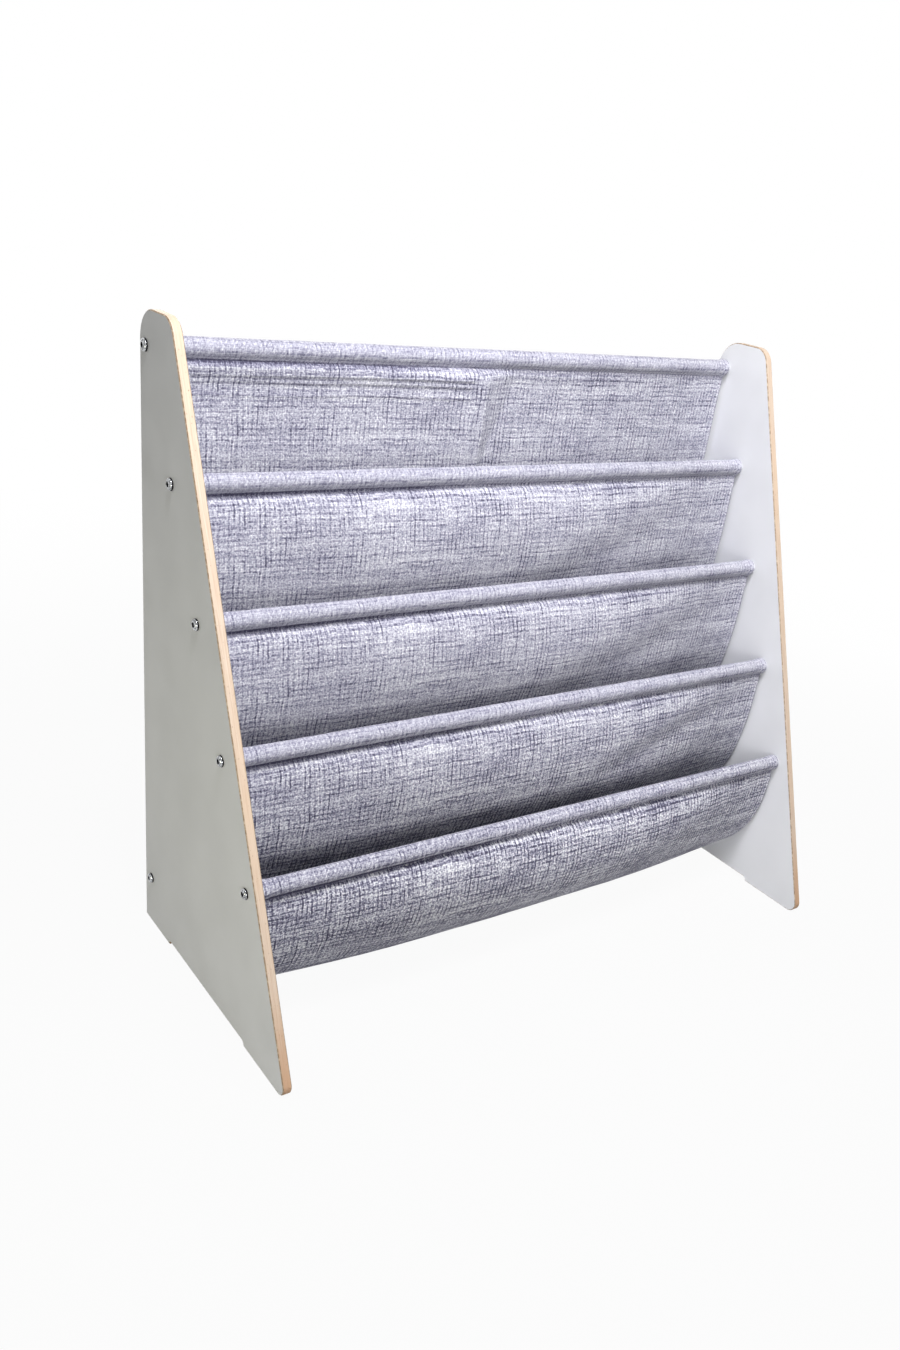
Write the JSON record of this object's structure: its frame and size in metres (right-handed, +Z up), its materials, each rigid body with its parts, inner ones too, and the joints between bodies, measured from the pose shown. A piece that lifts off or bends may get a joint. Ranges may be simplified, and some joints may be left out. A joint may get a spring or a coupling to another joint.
{
  "type": "sling bookshelf",
  "caption": "Freestanding sling bookshelf: sloping white side boards joined by bolted cross rods that carry a grey cloth sling with tiered front pockets.",
  "frame": {"origin": "on the floor, in the middle of the footprint's box", "axes": "+X along the rods to the viewer's right, +Y from the open front to the back, +Z up"},
  "size_m": [0.7072, 0.3148, 0.598],
  "materials": {
    "board": "white melamine faced board, satin, with bare tan edges",
    "cloth": "grey and white slubbed linen-look weave, matt",
    "rod": "light grey powder-coated steel tube",
    "screw": "bright zinc plated",
    "plug": "plain zinc plated"
  },
  "bodies": {
    "root": {"side_board_left": "board", "side_board_right": "board", "rod_top": "rod", "rod_pocket_1": "rod", "rod_pocket_2": "rod", "rod_pocket_3": "rod", "rod_pocket_4": "rod", "rod_low_rear": "rod", "rod_plug_top_left": "plug", "rod_plug_top_right": "plug", "rod_plug_pocket_1_left": "plug", "rod_plug_pocket_1_right": "plug", "rod_plug_pocket_2_left": "plug", "rod_plug_pocket_2_right": "plug", "rod_plug_pocket_3_left": "plug", "rod_plug_pocket_3_right": "plug", "rod_plug_pocket_4_left": "plug", "rod_plug_pocket_4_right": "plug", "rod_plug_low_rear_left": "plug", "rod_plug_low_rear_right": "plug", "screw_top_left": "screw", "screw_top_right": "screw", "screw_pocket_1_left": "screw", "screw_pocket_1_right": "screw", "screw_pocket_2_left": "screw", "screw_pocket_2_right": "screw", "screw_pocket_3_left": "screw", "screw_pocket_3_right": "screw", "screw_pocket_4_left": "screw", "screw_pocket_4_right": "screw", "screw_low_rear_left": "screw", "screw_low_rear_right": "screw", "back_sheet": "cloth", "pocket_cloth_1": "cloth", "pocket_cloth_2": "cloth", "pocket_cloth_3": "cloth", "pocket_cloth_4": "cloth"}
  },
  "joints": []
}
